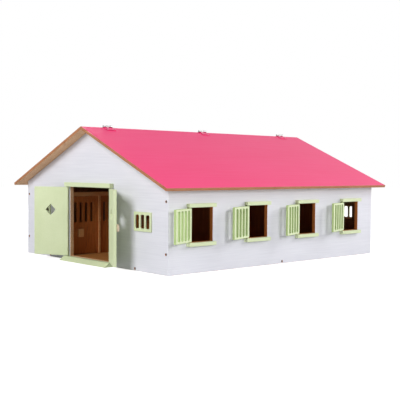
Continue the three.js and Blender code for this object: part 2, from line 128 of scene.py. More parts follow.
# Screws of the walls
wall_screw_radius = 0.0023
wall_screw_hole_radius = 0.0026
wall_screw_depth = 0.0007
wall_screw_from_corner = 0.007
wall_screw_heights = (0.1473, 0.0423)
bottom_screw_from_middle = 0.167
bottom_screw_height = 0.0045
side_screw_offset = -0.0015
screw_head_thickness = 0.0009
screw_shank_length = 0.004
screw_recess_length_share = 0.62
screw_recess_width_share = 0.2

# Openings in the walls
door_opening_width = 0.160
door_opening_top = 0.170
ramp_toe_height = 0.0008
window_width = 0.070
window_rail_height = 0.0077
grille_hole_half_width = 0.0263
grille_hole_half_height = 0.017

# Doors and knobs
diamond_half_diagonal = 0.0135
diamond_height = 0.1155
diamond_from_hinge_edge = 0.046
knob_neck_radius = 0.0064
knob_neck_length = 0.0016
knob_neck_hollow = 0.0006
knob_dish_depth = 0.0002
knob_rim_rounding = 0.0011
knob_boss_radius = 0.0024
pin_seat = 0.0005
door_pin_radius = 0.0015
shutter_pin_radius = 0.001
gate_pin_radius = 0.0015

# Slots
slot_row_margin = 0.005
shutter_slot_width = 0.0092
shutter_slot_pitch = 0.0147
shutter_slot_corner = 0.003
shutter_end_rail = 0.0045
grille_slot_width = 0.012
grille_slot_pitch = 0.0173
grille_slot_corner = 0.003
grille_end_rail = 0.006
stall_slot_width = 0.0084
stall_slot_pitch = 0.0153
stall_slot_height = 0.048
stall_slots_below_rail = 0.0141

# Stall fronts and gates
stall_board_thickness = 0.006
stall_rail_height = 0.0094
stall_trim_proud = 0.003
stall_post_width = 0.006
stall_post_from_gate = 0.007
partition_count = 3
gate_end_gap = 0.0008
gate_free_gap = 0.0006
gate_hinge_gap = 0.0013
latch_width = 0.015
latch_height = 0.019
latch_from_free_edge = 0.024
latch_below_slots = 0.0155

# Cells of the materials' patterns, along X, Y and Z
laminate_streak = (0.09, 0.09, 0.0022)
laminate_patch = (0.12, 0.12, 0.03)
roof_streak = (0.004, 0.12, 0.004)
roof_patch = (0.08, 0.2, 0.08)
paint_speck = (0.003, 0.003, 0.003)
paint_patch = (0.04, 0.04, 0.04)
edge_paint_speck = (0.002, 0.002, 0.002)
edge_fibre = (0.0009, 0.0009, 0.0009)
edge_patch = (0.03, 0.03, 0.03)
edge_fleck = (0.0011, 0.0011, 0.0011)
back_fibre = (0.004, 0.004, 0.004)
back_patch = (0.06, 0.06, 0.06)
back_fleck = (0.0016, 0.0016, 0.0016)
pale_fibre = (0.003, 0.003, 0.003)
pale_patch = (0.05, 0.05, 0.05)
pale_fleck = (0.002, 0.002, 0.002)
floor_grain = (0.002, 0.06, 0.002)
floor_patch = (0.04, 0.12, 0.04)
upright_grain = (0.0016, 0.0016, 0.045)
upright_patch = (0.02, 0.02, 0.09)
upright_fleck = (0.0012, 0.0012, 0.02)
trim_grain = (0.0016, 0.045, 0.0016)
trim_patch = (0.02, 0.09, 0.02)
knob_fibre = (0.0006, 0.0006, 0.008)
steel_mark = (0.0009, 0.003, 0.0009)

# Depths of the materials' relief
laminate_depth = 0.00002
roof_depth = 0.000004
paint_depth = 0.00001
edge_paint_depth = 0.00002
fibre_depth = 0.00004
grain_depth = 0.00005
steel_mark_depth = 0.00001

# The least and the most roughness of the materials
laminate_roughness = (0.42, 0.52)
roof_roughness = (0.34, 0.38)
paint_roughness = (0.45, 0.55)
edge_paint_roughness = (0.5, 0.65)
fibre_roughness = (0.75, 0.92)
board_roughness = (0.6, 0.8)
trim_roughness = (0.55, 0.75)
knob_roughness = (0.45, 0.62)
zinc_roughness = (0.28, 0.42)
dark_steel_roughness = (0.3, 0.5)

# Makeup of the patterns
usual_detail = 4
usual_patch_share = 0.4
roof_patch_share = 0.85
paint_patch_share = 0.6
grain_patch_share = 0.3
noise_low = 0.32
noise_high = 0.68
fleck_detail = 2
fleck_low = 0.58
fleck_high = 0.7
ring_scale = 120
ring_distortion = 5
ring_detail = 3
ring_detail_scale = 0.6

# The curve between the levels of a screen and light
top_level = 255
straight_end = 0.04045
straight_slope = 12.92
curve_offset = 0.055
curve_power = 2.4

# Sockets of a mixing node, by their numbers
value_sockets = (2, 3)
colour_sockets = (6, 7)
colour_result = 2

# Places that follow from the sizes above and from the frame
gable_low, gable_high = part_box("front_gable_wall")
half_width = gable_high.x
half_length = -gable_low.y
wall_thickness = gable_high.y - gable_low.y
inner_half_length = half_length - wall_thickness
apex_height = gable_high.z
floor_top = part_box("floor_plate")[1].z
roof_pitch = math.radians(roof_pitch_degrees)
gable_side_top = apex_height - half_width * math.tan(roof_pitch)
roof_half_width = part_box("right_roof_panel")[1].x
roof_half_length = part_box("right_roof_panel")[1].y
ridge_height = apex_height + (seat_gap + roof_thickness) / math.cos(roof_pitch)
hinge_axis_out = hinge_knuckle_radius + seat_gap
hinge_axis_down = -hinge_axis_out * math.tan(roof_pitch)
hinge_leaf_top = seat_gap + hinge_leaf_thickness
hinge_screw_places = [
    (hinge_screw_down_slope, offset) for offset in (-hinge_screw_from_middle, hinge_screw_from_middle)
]
stall_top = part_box("right_stall_front")[1].z
stall_rail_bottom = stall_top - stall_rail_height
stall_slot_top = stall_rail_bottom - stall_slots_below_rail
stall_slot_bottom = stall_slot_top - stall_slot_height
window_count = {"right": 4, "left": 3}
side_sign = {"right": 1, "left": -1}

joint_of = {joint["child"]: joint for joint in frame["joints"]}
body_of = {}
for body_name, members in frame["record"]["behaviour"]["bodies"].items():
    for member in members:
        body_of[member] = body_name


# Carries a leaf from its closed place to where it stands at rest. Leaves that stand open at rest are
# closed at their upper limit, and the others, whose range starts at 0, are closed at rest.
def hang(node):
    joint = joint_of.get(body_of[node])
    if joint is None or joint["range_deg"][0] == 0:
        return Matrix.Identity(4)
    pivot = Matrix.Translation(joint["pos_m"])
    closing = math.radians(joint["range_deg"][1])
    return pivot @ Matrix.Rotation(-closing, 4, Vector(joint["axis"])) @ pivot.inverted()


# The lowest and highest corner of a node when it is closed
def closed_box(node):
    closing = hang(node).inverted()
    points = [closing @ vertex.co for vertex in frame["nodes"][node].data.vertices]
    low = Vector(min(point[axis] for point in points) for axis in range(3))
    high = Vector(max(point[axis] for point in points) for axis in range(3))
    return low, high


# The camera looks along its azimuth and elevation, and is rolled a little
def add_camera():
    azimuth = math.radians(camera_azimuth_degrees)
    elevation = math.radians(camera_elevation_degrees)
    roll = math.radians(camera_roll_degrees)
    level = math.cos(elevation)
    forward = Vector((-math.sin(azimuth) * level, math.cos(azimuth) * level, math.sin(elevation)))
    right = Vector((math.cos(azimuth), math.sin(azimuth), 0))
    up = right.cross(forward)
    rolled_right = right * math.cos(roll) + up * math.sin(roll)
    rolled_up = up * math.cos(roll) - right * math.sin(roll)
    lens = bpy.data.cameras.new("camera")
    lens.sensor_width = camera_sensor
    lens.lens = camera_lens
    camera = bpy.data.objects.new("camera", lens)
    turn = Matrix((rolled_right, rolled_up, -forward)).transposed()
    camera.matrix_world = Matrix.Translation(camera_place) @ turn.to_4x4()
    scene.collection.objects.link(camera)
    scene.camera = camera


add_camera()


# A colour in a screen's levels, turned into what the shaders take
def colour(red, green, blue):
    def linear(level):
        share = level / top_level
        if share < straight_end:
            return share / straight_slope
        return ((share + curve_offset) / (1 + curve_offset)) ** curve_power
    return (linear(red), linear(green), linear(blue), 1)


# A material with its node tree and its shader
def new_material(name):
    material = bpy.data.materials.new(name)
    material.use_nodes = True
    return material, material.node_tree, material.node_tree.nodes["Principled BSDF"]


# Noise in a piece's own coordinates, with cells of the given sizes along X, Y and Z
def grain(tree, cell, detail=usual_detail):
    place = tree.nodes.new("ShaderNodeTexCoord")
    fit = tree.nodes.new("ShaderNodeMapping")
    fit.inputs["Scale"].default_value = [1 / length for length in cell]
    noise = tree.nodes.new("ShaderNodeTexNoise")
    noise.inputs["Scale"].default_value = 1
    noise.inputs["Detail"].default_value = detail
    tree.links.new(place.outputs["Object"], fit.inputs["Vector"])
    tree.links.new(fit.outputs["Vector"], noise.inputs["Vector"])
    return noise.outputs["Fac"]


# Spreads a value's range, by default the middle of a noise, over the range from low to high
def spread(tree, value, low, high, start=noise_low, end=noise_high):
    node = tree.nodes.new("ShaderNodeMapRange")
    node.inputs["From Min"].default_value = start
    node.inputs["From Max"].default_value = end
    node.inputs["To Min"].default_value = low
    node.inputs["To Max"].default_value = high
    tree.links.new(value, node.inputs["Value"])
    return node.outputs["Result"]


# Mixes two values from other nodes
def mix_values(tree, share, first, second):
    node = tree.nodes.new("ShaderNodeMix")
    node.data_type = "FLOAT"
    node.inputs[0].default_value = share
    for value, socket in zip((first, second), value_sockets):
        tree.links.new(value, node.inputs[socket])
    return node.outputs[0]


# Mixes two colours, of which either may come from another node
def mix_colours(tree, factor, first, second):
    node = tree.nodes.new("ShaderNodeMix")
    node.data_type = "RGBA"
    tree.links.new(factor, node.inputs[0])
    for value, socket in zip((first, second), colour_sockets):
        if isinstance(value, tuple):
            node.inputs[socket].default_value = value
        else:
            tree.links.new(value, node.inputs[socket])
    return node.outputs[colour_result]


# A fine relief, too shallow to be modelled
def raise_surface(tree, shader, height, depth):
    node = tree.nodes.new("ShaderNodeBump")
    node.inputs["Distance"].default_value = depth
    tree.links.new(height, node.inputs["Height"])
    tree.links.new(node.outputs["Normal"], shader.inputs["Normal"])


# A board's surface: streaks over wide soft patches, with a roughness and a relief that follow the
# streaks. A fleck is a colour and a cell.
def surface(
    name, dark, light, streak, patch, roughness, depth, patch_share=usual_patch_share, fleck=None,
):
    material, tree, shader = new_material(name)
    streaks = grain(tree, streak)
    patches = grain(tree, patch)
    pattern = mix_values(tree, patch_share, streaks, patches)
    shade = mix_colours(tree, spread(tree, pattern, 0, 1), dark, light)
    if fleck:
        fleck_colour, fleck_cell = fleck
        noise = grain(tree, fleck_cell, fleck_detail)
        flecks = spread(tree, noise, 0, 1, fleck_low, fleck_high)
        shade = mix_colours(tree, flecks, shade, fleck_colour)
    tree.links.new(shade, shader.inputs["Base Color"])
    smooth, rough = roughness
    tree.links.new(spread(tree, streaks, rough, smooth), shader.inputs["Roughness"])
    raise_surface(tree, shader, streaks, depth)
    return material


# White laminate: long faint level streaks
white_laminate = surface(
    "white_laminate", colour(220, 220, 229), colour(230, 230, 238),
    laminate_streak, laminate_patch, laminate_roughness, laminate_depth,
)

# Pink laminate: satin, almost even
pink_laminate = surface(
    "pink_laminate", colour(243, 38, 114), colour(246, 44, 120),
    roof_streak, roof_patch, roof_roughness, roof_depth, roof_patch_share,
)

# Pale green paint: a sprayed coat over a smooth board
green_paint = surface(
    "green_paint", colour(210, 221, 178), colour(219, 229, 189),
    paint_speck, paint_patch, paint_roughness, paint_depth, paint_patch_share,
)

# A darker, more saturated green for the shutters' slots and edges: partly a deeper coat of paint on the cut board,
# partly painted shade in the slots
green_edge_and_shade = surface(
    "green_edge_and_shade", colour(172, 194, 130), colour(184, 206, 142),
    edge_paint_speck, edge_patch, edge_paint_roughness, edge_paint_depth,
)

# Raw fibreboard edges: fine fibres with dark flecks
raw_edge = surface(
    "raw_edge", colour(163, 106, 70), colour(192, 136, 98),
    edge_fibre, edge_patch, fibre_roughness, fibre_depth,
    fleck=(colour(140, 88, 56), edge_fleck),
)

# The raw edges round the windows and behind the grilles, in a deeper, more saturated brown than the roof's edges:
# painted shade, standing in for the orange light that bounces in the shaded reveals
shaded_window_edge = surface(
    "shaded_window_edge", colour(190, 106, 44), colour(214, 130, 64),
    edge_fibre, edge_patch, fibre_roughness, fibre_depth,
    fleck=(colour(168, 90, 38), edge_fleck),
)

# The raw back of the wall boards: the board's brown, darkened with painted shade for the inside of the house
shaded_raw_back = surface(
    "shaded_raw_back", colour(158, 112, 76), colour(188, 143, 104),
    back_fibre, back_patch, fibre_roughness, fibre_depth,
    fleck=(colour(138, 94, 62), back_fleck),
)

# The paler raw board under the roof and round the doorway
pale_back = surface(
    "pale_back", colour(214, 168, 128), colour(234, 194, 156),
    pale_fibre, pale_patch, fibre_roughness, fibre_depth,
    fleck=(colour(190, 144, 106), pale_fleck),
)

# The floor's orange brown board
floor_board = surface(
    "floor_board", colour(146, 94, 46), colour(174, 118, 64),
    floor_grain, floor_patch, board_roughness, fibre_depth,
)

# Brown board of the stalls: fine upright grain
brown_board = surface(
    "brown_board", colour(178, 98, 42), colour(202, 122, 60),
    upright_grain, upright_patch, board_roughness, grain_depth, grain_patch_share,
    fleck=(colour(152, 80, 34), upright_fleck),
)

# The partitions' board, darker than the stall fronts' board: painted shade, so that the stalls look dark through
# the windows
shaded_partition_board = surface(
    "shaded_partition_board", colour(128, 68, 30), colour(152, 88, 44),
    upright_grain, upright_patch, board_roughness, grain_depth, grain_patch_share,
)

# The paler rails, posts and latches of the stalls: the stall wood, partly lightened with painted light where they
# face the aisle
lit_stall_trim = surface(
    "lit_stall_trim", colour(214, 150, 96), colour(234, 178, 122),
    trim_grain, trim_patch, trim_roughness, fibre_depth,
)


# Turned wood: rings across the knob's face
def turned_wood(dark, light):
    material, tree, shader = new_material("turned_wood")
    place = tree.nodes.new("ShaderNodeTexCoord")
    rings = tree.nodes.new("ShaderNodeTexWave")
    rings.wave_type = "BANDS"
    rings.bands_direction = "X"
    rings.inputs["Scale"].default_value = ring_scale
    rings.inputs["Distortion"].default_value = ring_distortion
    rings.inputs["Detail"].default_value = ring_detail
    rings.inputs["Detail Scale"].default_value = ring_detail_scale
    tree.links.new(place.outputs["Object"], rings.inputs["Vector"])
    shade = mix_colours(tree, rings.outputs["Fac"], dark, light)
    tree.links.new(shade, shader.inputs["Base Color"])
    fibres = grain(tree, knob_fibre)
    smooth, rough = knob_roughness
    tree.links.new(spread(tree, fibres, rough, smooth), shader.inputs["Roughness"])
    raise_surface(tree, shader, fibres, fibre_depth)
    return material


# Plated steel, with fine marks that change its gloss
def plated_steel(name, dark, light, roughness):
    material, tree, shader = new_material(name)
    marks = grain(tree, steel_mark)
    shade = mix_colours(tree, spread(tree, marks, 0, 1), dark, light)
    tree.links.new(shade, shader.inputs["Base Color"])
    smooth, rough = roughness
    tree.links.new(spread(tree, marks, rough, smooth), shader.inputs["Roughness"])
    shader.inputs["Metallic"].default_value = 1
    raise_surface(tree, shader, marks, steel_mark_depth)
    return material


pale_wood = turned_wood(colour(242, 216, 192), colour(250, 228, 206))
zinc_steel = plated_steel(
    "zinc_steel", colour(150, 150, 150), colour(190, 190, 188), zinc_roughness,
)
dark_steel = plated_steel(
    "dark_steel", colour(74, 66, 60), colour(118, 112, 106), dark_steel_roughness,
)


# Outlines are lists of points. A rectangle lies between two places along each axis.
def rectangle(a0, a1, b0, b1):
    return [(a0, b0), (a1, b0), (a1, b1), (a0, b1)]


# Points round a centre, from one turn to another
def arc(a, b, radius, start, end, steps):
    turns = [start + (end - start) * step / steps for step in range(steps + 1)]
    return [(a + radius * math.cos(turn), b + radius * math.sin(turn)) for turn in turns]


# Points all round a centre
def circle(radius, a=0, b=0):
    return arc(a, b, radius, 0, math.tau, circle_steps)[:-1]


# An upright slot with round ends
def round_slot(centre, bottom, top, width):
    radius = width / 2
    return [
        *arc(centre, top - radius, radius, 0, math.pi, slot_end_steps),
        *arc(centre, bottom + radius, radius, math.pi, math.tau, slot_end_steps),
    ]


# An upright slot with four small round corners
def square_slot(centre, bottom, top, width, corner):
    quarter_turn = math.pi / 2
    inset = width / 2 - corner
    path = []
    for side, middle, turns in (
        (1, top - corner, 0), (-1, top - corner, 1), (-1, bottom + corner, 2), (1, bottom + corner, 3),
    ):
        start = turns * quarter_turn
        path += arc(
            centre + side * inset, middle, corner, start, start + quarter_turn, corner_arc_steps,
        )
    return path


# As many equal slots as a strip between two edges has room for, about the middle of the strip
def slot_row(start, end, pitch, slot_at):
    count = math.floor((end - start - slot_row_margin) / pitch)
    first = (start + end) / 2 - (count - 1) * pitch / 2
    return [slot_at(first + index * pitch) for index in range(count)]


# The outline with each sharp corner turned into a small arc
def soften(points, radius):
    path = []
    for index, point in enumerate(points):
        corner = Vector(point)
        before = (Vector(points[index - 1]) - corner).normalized()
        after = (Vector(points[(index + 1) % len(points)]) - corner).normalized()
        opening = before.angle(after)
        if math.pi - opening < math.radians(least_corner_degrees):
            path.append(point)
            continue
        centre = corner + (before + after).normalized() * (radius / math.sin(opening / 2))
        reach = radius / math.tan(opening / 2)
        start = corner + before * reach - centre
        end = corner + after * reach - centre
        for step in range(corner_steps + 1):
            path.append(centre + start.lerp(end, step / corner_steps).normalized() * radius)
    return path


# Places an outline in X and Z, with its face towards the front
across = Matrix(((1, 0, 0, 0), (0, 0, -1, 0), (0, 1, 0, 0), (0, 0, 0, 1)))

# Places an outline in Y and Z, with its face towards the right
along = Matrix(((0, 0, 1, 0), (1, 0, 0, 0), (0, 1, 0, 0), (0, 0, 0, 1)))


# A plate from an outline and its holes, with rounded edges
def filled_outline(points_lists, thickness, rounding):
    curve = bpy.data.curves.new("outline", "CURVE")
    curve.dimensions = "2D"
    curve.fill_mode = "BOTH"
    curve.extrude = thickness / 2 - rounding
    curve.bevel_depth = rounding
    curve.bevel_resolution = rim_steps
    curve.offset = -rounding
    for points in points_lists:
        spline = curve.splines.new("POLY")
        spline.points.add(len(points) - 1)
        for target, (a, b) in zip(spline.points, points):
            target.co = (a, b, 0, 1)
        spline.use_cyclic_u = True
    carrier = bpy.data.objects.new("outline", curve)
    scene.collection.objects.link(carrier)
    depsgraph = bpy.context.evaluated_depsgraph_get()
    mesh = bpy.data.meshes.new_from_object(carrier.evaluated_get(depsgraph))
    bpy.data.objects.remove(carrier)
    bpy.data.curves.remove(curve)
    return mesh


# A closed board in its place. The skin picks each face's material from its normal and centre.
def board(outer, thickness, rounding, placing, holes=(), skin=None):
    outlines = [soften(points, corner_rounding_share * rounding) for points in (outer, *holes)]
    mesh = filled_outline(outlines, thickness, rounding)
    shape = bmesh.new()
    shape.from_mesh(mesh)
    bmesh.ops.remove_doubles(shape, verts=shape.verts, dist=weld_distance)
    shape.transform(placing)
    if shape.calc_volume(signed=True) < 0:
        bmesh.ops.reverse_faces(shape, faces=shape.faces)
    shape.normal_update()
    for face in shape.faces:
        face.material_index = skin(face.normal, face.calc_center_median()) if skin else 0
    shape.to_mesh(mesh)
    shape.free()
    return mesh


# A board that stands across the house
def cross_board(outer, y0, y1, rounding, holes=(), skin=None):
    placing = Matrix.Translation((0, (y0 + y1) / 2, 0)) @ across
    return board(outer, abs(y1 - y0), rounding, placing, holes, skin)


# A board that stands along the house
def length_board(outer, x0, x1, rounding, holes=(), skin=None):
    placing = Matrix.Translation(((x0 + x1) / 2, 0, 0)) @ along
    return board(outer, abs(x1 - x0), rounding, placing, holes, skin)


# A block between its lowest and highest corner
def block(low, high, rounding, skin=None):
    placing = Matrix.Translation((0, 0, (low[2] + high[2]) / 2))
    outer = rectangle(low[0], high[0], low[1], high[1])
    return board(outer, high[2] - low[2], rounding, placing, skin=skin)


# An upright round pin
def pin(radius, x, y, z0, z1):
    placing = Matrix.Translation((x, y, (z0 + z1) / 2))
    return board(circle(radius), z1 - z0, steel_rounding, placing)


# Joins meshes into one piece, which rides on a body, and may stand for a CAD node
def add_piece(name, body, meshes, materials, placing=None):
    shape = bmesh.new()
    for mesh in meshes:
        shape.from_mesh(mesh)
        bpy.data.meshes.remove(mesh)
    for face in shape.faces:
        face.smooth = True
    joined = bpy.data.meshes.new(name)
    shape.to_mesh(joined)
    shape.free()
    for material in materials:
        joined.materials.append(material)
    piece = bpy.data.objects.new(name, joined)
    scene.collection.objects.link(piece)
    if placing:
        piece.matrix_world = placing
    piece.modifiers.new("flat_faces", "WEIGHTED_NORMAL")
    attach(piece, body)
    return piece


# A piece that stands for a CAD node, made in its closed place
def finish_node(node, meshes, materials):
    piece = add_piece(f"{node}_finished", body_of[node], meshes, materials, hang(node))
    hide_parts(node)


# A CAD node that keeps its shape
def dress_node(node, material):
    kept = frame["nodes"][node]
    for material_slot in kept.material_slots:
        material_slot.link = "OBJECT"
        material_slot.material = material


# Skins pick a face's material by its number. This one picks the second.
def second_material(normal, centre):
    return 1


# The first material lies on the outer face, the second on the inner one and the third on the edges
def wall_skin(outward):
    def skin(normal, centre):
        facing = normal.dot(outward)
        if facing > flat_face:
            return 0
        if facing < -flat_face:
            return 1
        return 2
    return skin


# A wall whose end edges, beyond a distance along an axis, are white like its outer face
def white_ended_skin(outward, axis, end):
    plain = wall_skin(outward)
    edge_start = end - corner_rounding_share * wall_rounding

    def skin(normal, centre):
        if abs(centre[axis]) > edge_start:
            return 0
        return plain(normal, centre)
    return skin


# The places of a gable's screws, across and up
def gable_screw_places():
    places = []
    for side in (-1, 1):
        places += [(side * (half_width - wall_screw_from_corner), z) for z in wall_screw_heights]
        places.append((side * bottom_screw_from_middle, bottom_screw_height))
    return places


# The doorway's edges are the fourth material, so that they can be paler than the other edges
def gable_skin(outward):
    plain = white_ended_skin(outward, 0, half_width)
    reach = door_opening_width / 2 + wall_rounding
    top = door_opening_top + wall_rounding

    def skin(normal, centre):
        found = plain(normal, centre)
        in_doorway = abs(centre.x) < reach and centre.z < top
        return 3 if found == 2 and in_doorway else found
    return skin


# A gable wall, with holes behind its grilles and a doorway at the front
def gable(node, outward, has_door):
    low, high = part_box(node)
    outer = [
        (-half_width, 0), (half_width, 0), (half_width, gable_side_top),
        (0, apex_height), (-half_width, gable_side_top),
    ]
    holes = [circle(wall_screw_hole_radius, x, z) for x, z in gable_screw_places()]
    for grille in ("front_left_grille", "front_right_grille"):
        grille_low, grille_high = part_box(grille)
        middle = (grille_low + grille_high) / 2
        holes.append(rectangle(
            middle.x - grille_hole_half_width, middle.x + grille_hole_half_width,
            middle.z - grille_hole_half_height, middle.z + grille_hole_half_height,
        ))
    if has_door:
        holes.append(rectangle(
            -door_opening_width / 2, door_opening_width / 2, floor_top, door_opening_top,
        ))
    mesh = cross_board(outer, low.y, high.y, wall_rounding, holes, gable_skin(outward))
    # The edges behind the grilles take the deeper brown of painted shade, and the inner face the back darkened
    # with painted shade
    finish_node(node, [mesh], [white_laminate, shaded_raw_back, shaded_window_edge, pale_back])


# The middle, sill and top of a window, from the rails above and below it
def window_span(side, index):
    low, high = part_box(f"{side}_window_upper_rail_{index}")
    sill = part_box(f"{side}_window_lower_rail_{index}")[0].z + window_rail_height
    return (low.y + high.y) / 2, sill, high.z - window_rail_height


# A side wall with its windows
def side_wall(side):
    node = f"{side}_side_wall"
    low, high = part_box(node)
    outward = Vector((side_sign[side], 0, 0))
    holes = [circle(wall_screw_hole_radius, side_screw_offset, bottom_screw_height)]
    for index in range(1, window_count[side] + 1):
        middle, sill, top = window_span(side, index)
        holes.append(rectangle(middle - window_width / 2, middle + window_width / 2, sill, top))
    outer = rectangle(low.y, high.y, 0, high.z)
    skin = white_ended_skin(outward, 1, high.y)
    mesh = length_board(outer, low.x, high.x, wall_rounding, holes, skin)
    # The window edges take the deeper brown of painted shade, and the inner face the back darkened with painted
    # shade
    finish_node(node, [mesh], [white_laminate, shaded_raw_back, shaded_window_edge])


# A roof panel, from its cross-section: a plumb cut at the ridge and a square cut at the eave
def roof_panel(side):
    sign = side_sign[side]
    ridge_gap = seat_gap / 2
    slope = math.tan(roof_pitch)
    plumb_thickness = roof_thickness / math.cos(roof_pitch)
    eave_top = ridge_height - roof_half_width * slope
    section = [
        (ridge_gap, ridge_height - ridge_gap * slope),
        (roof_half_width, eave_top),
        (roof_half_width - roof_thickness * math.sin(roof_pitch),
         eave_top - roof_thickness * math.cos(roof_pitch)),
        (ridge_gap, ridge_height - ridge_gap * slope - plumb_thickness),
    ]
    upward = Vector((sign * math.sin(roof_pitch), 0, math.cos(roof_pitch)))
    mesh = cross_board(
        [(sign * x, z) for x, z in section], -roof_half_length, roof_half_length, roof_rounding,
        skin=wall_skin(upward),
    )
    finish_node(f"{side}_roof_panel", [mesh], [pink_laminate, pale_back, raw_edge])


# The cross in a screw's head
def cross(radius):
    reach = radius * screw_recess_length_share
    arm = radius * screw_recess_width_share
    quarter = [(reach, -arm), (reach, arm), (arm, arm)]
    path = []
    for turn in range(4):
        for a, b in quarter:
            for _ in range(turn):
                a, b = -b, a
            path.append((a, b))
    return path


# A countersunk screw with a cross in its head, whose top lies at the placing's origin
def screw(radius, shank_radius, placing):
    head = board(
        circle(radius), screw_head_thickness, steel_rounding,
        placing @ Matrix.Translation((0, 0, -screw_head_thickness / 2)), [cross(radius)],
    )
    shank = board(
        circle(shank_radius), screw_shank_length, steel_rounding,
        placing @ Matrix.Translation((0, 0, -screw_head_thickness - screw_shank_length / 2)),
    )
    return [head, shank]


# The screws that hold the walls
def add_wall_screws():
    half_turn = Matrix.Rotation(math.pi, 4, "Z")
    for name, turn, sign in (("front", across, -1), ("rear", half_turn @ across, 1)):
        meshes = []
        for x, z in gable_screw_places():
            place = Matrix.Translation((x, sign * (half_length - wall_screw_depth), z))
            meshes += screw(wall_screw_radius, wall_screw_hole_radius, place @ turn)
        add_piece(f"{name}_gable_screws", "house", meshes, [dark_steel])
    for name, turn, sign in (("right", along, 1), ("left", half_turn @ along, -1)):
        place = Matrix.Translation(
            (sign * (half_width - wall_screw_depth), side_screw_offset, bottom_screw_height)
        )
        meshes = screw(wall_screw_radius, wall_screw_hole_radius, place @ turn)
        add_piece(f"{name}_wall_screw", "house", meshes, [dark_steel])


# Ridge hinges. A slope's own axes run down the slope, along the ridge and out of the roof.
def slope_placing(sign, centre_y):
    down = Vector((sign * math.cos(roof_pitch), 0, -math.sin(roof_pitch)))
    out = Vector((sign * math.sin(roof_pitch), 0, math.cos(roof_pitch)))
    turn = Matrix((down, out.cross(down), out)).transposed().to_4x4()
    return Matrix.Translation((0, centre_y, ridge_height)) @ turn


# A hinge leaf's flat part, with round outer corners and its screw holes
def hinge_plate(placing):
    half = hinge_length / 2
    corner = hinge_leaf_corner
    edge = hinge_leaf_width - corner
    outer = [
        (hinge_knuckle_radius, -half),
        *arc(edge, corner - half, corner, -math.pi / 2, 0, corner_arc_steps),
        *arc(edge, half - corner, corner, 0, math.pi / 2, corner_arc_steps),
        (hinge_knuckle_radius, half),
    ]
    holes = [circle(hinge_screw_radius + hinge_play, down, side) for down, side in hinge_screw_places]
    lift = Matrix.Translation((0, 0, seat_gap + hinge_leaf_thickness / 2))
    return board(outer, hinge_leaf_thickness, steel_rounding, placing @ lift, holes)


# A knuckle, rolled from the leaf round the pin
def hinge_knuckle(placing, start, end):
    tongue_turn = math.asin((hinge_leaf_top - hinge_axis_out) / hinge_knuckle_radius)
    section = arc(
        hinge_axis_down, hinge_axis_out, hinge_knuckle_radius,
        -math.pi / 2, tongue_turn - math.tau, circle_steps,
    )
    section += [(hinge_knuckle_radius, hinge_leaf_top), (hinge_knuckle_radius, seat_gap)]
    bore = circle(hinge_pin_radius + hinge_play, hinge_axis_down, hinge_axis_out)
    turned = placing @ Matrix.Translation((0, (start + end) / 2, 0)) @ across
    return board(section, end - start, steel_rounding, turned, [bore], second_material)


# The pin, riveted in the fixed leaf
def hinge_pin(placing):
    turned = placing @ Matrix.Translation((hinge_axis_down, 0, hinge_axis_out)) @ across
    outer = circle(hinge_pin_radius)
    return board(outer, hinge_length, steel_rounding, turned, skin=second_material)


# The two screws of a leaf
def hinge_screws(placing):
    meshes = []
    for down, side in hinge_screw_places:
        place = Matrix.Translation((down, side, hinge_leaf_top + hinge_screw_proud))
        meshes += screw(hinge_screw_radius, hinge_screw_radius, placing @ place)
    return meshes


# The fixed leaves have the outer knuckles and the moving leaves the middle ones
def add_ridge_hinges():
    half = hinge_length / 2
    middle_end = half / hinge_knuckle_count
    moving_end = middle_end - hinge_knuckle_gap
    for index in range(1, hinge_count + 1):
        low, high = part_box(f"ridge_hinge_fixed_leaf_{index}")
        centre_y = (low.y + high.y) / 2
        fixed = slope_placing(-1, centre_y)
        moving = slope_placing(1, centre_y)
        finish_node(f"ridge_hinge_fixed_leaf_{index}", [
            hinge_plate(fixed), hinge_pin(fixed),
            hinge_knuckle(fixed, -half, -middle_end), hinge_knuckle(fixed, middle_end, half),
        ], [pink_laminate, zinc_steel])
        finish_node(f"ridge_hinge_moving_leaf_{index}", [
            hinge_plate(moving), hinge_knuckle(moving, -moving_end, moving_end),
        ], [pink_laminate, zinc_steel])
        for name, body, placing in (("fixed", "house", fixed), ("moving", "roof_lid", moving)):
            screws = hinge_screws(placing)
            add_piece(f"{name}_hinge_screws_{index}", body, screws, [zinc_steel])


# The doors' pins, across the gaps above or below the leaves
def door_pins(start, end):
    pins = []
    for side in ("left", "right"):
        place = joint_of[f"{side}_door_leaf"]["pos_m"]
        pins.append(pin(door_pin_radius, place[0], place[1], start, end))
    return pins


# The lintel with the doors' upper pins
def add_lintel():
    low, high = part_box("door_lintel")
    leaf_top = closed_box("left_door")[1].z
    bar = block((low.x, low.y, door_opening_top), high, paint_rounding)
    pins = door_pins(leaf_top - pin_seat, door_opening_top + pin_seat)
    finish_node("door_lintel", [bar, *pins], [green_paint])


# The ramp with the doors' lower pins
def add_ramp():
    low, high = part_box("door_ramp")
    lintel_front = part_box("door_lintel")[0].y
    leaf_bottom = closed_box("left_door")[0].z
    profile = [
        (high.y, 0), (high.y, floor_top), (lintel_front, floor_top),
        (low.y, ramp_toe_height), (low.y, 0),
    ]
    slab = length_board(profile, low.x, high.x, ramp_rounding)
    pins = door_pins(floor_top - pin_seat, leaf_bottom + pin_seat)
    finish_node("door_ramp", [slab, *pins], [green_paint])


# A door with a diamond cut-out
def add_door(side):
    low, high = closed_box(f"{side}_door")
    hinge_edge = high.x if side == "right" else low.x
    centre = hinge_edge - side_sign[side] * diamond_from_hinge_edge
    reach = diamond_half_diagonal
    diamond = [
        (centre - reach, diamond_height), (centre, diamond_height - reach),
        (centre + reach, diamond_height), (centre, diamond_height + reach),
    ]
    outer = rectangle(low.x, high.x, low.z, high.z)
    leaf = cross_board(outer, low.y, high.y, paint_rounding, [diamond])
    finish_node(f"{side}_door", [leaf], [green_paint])


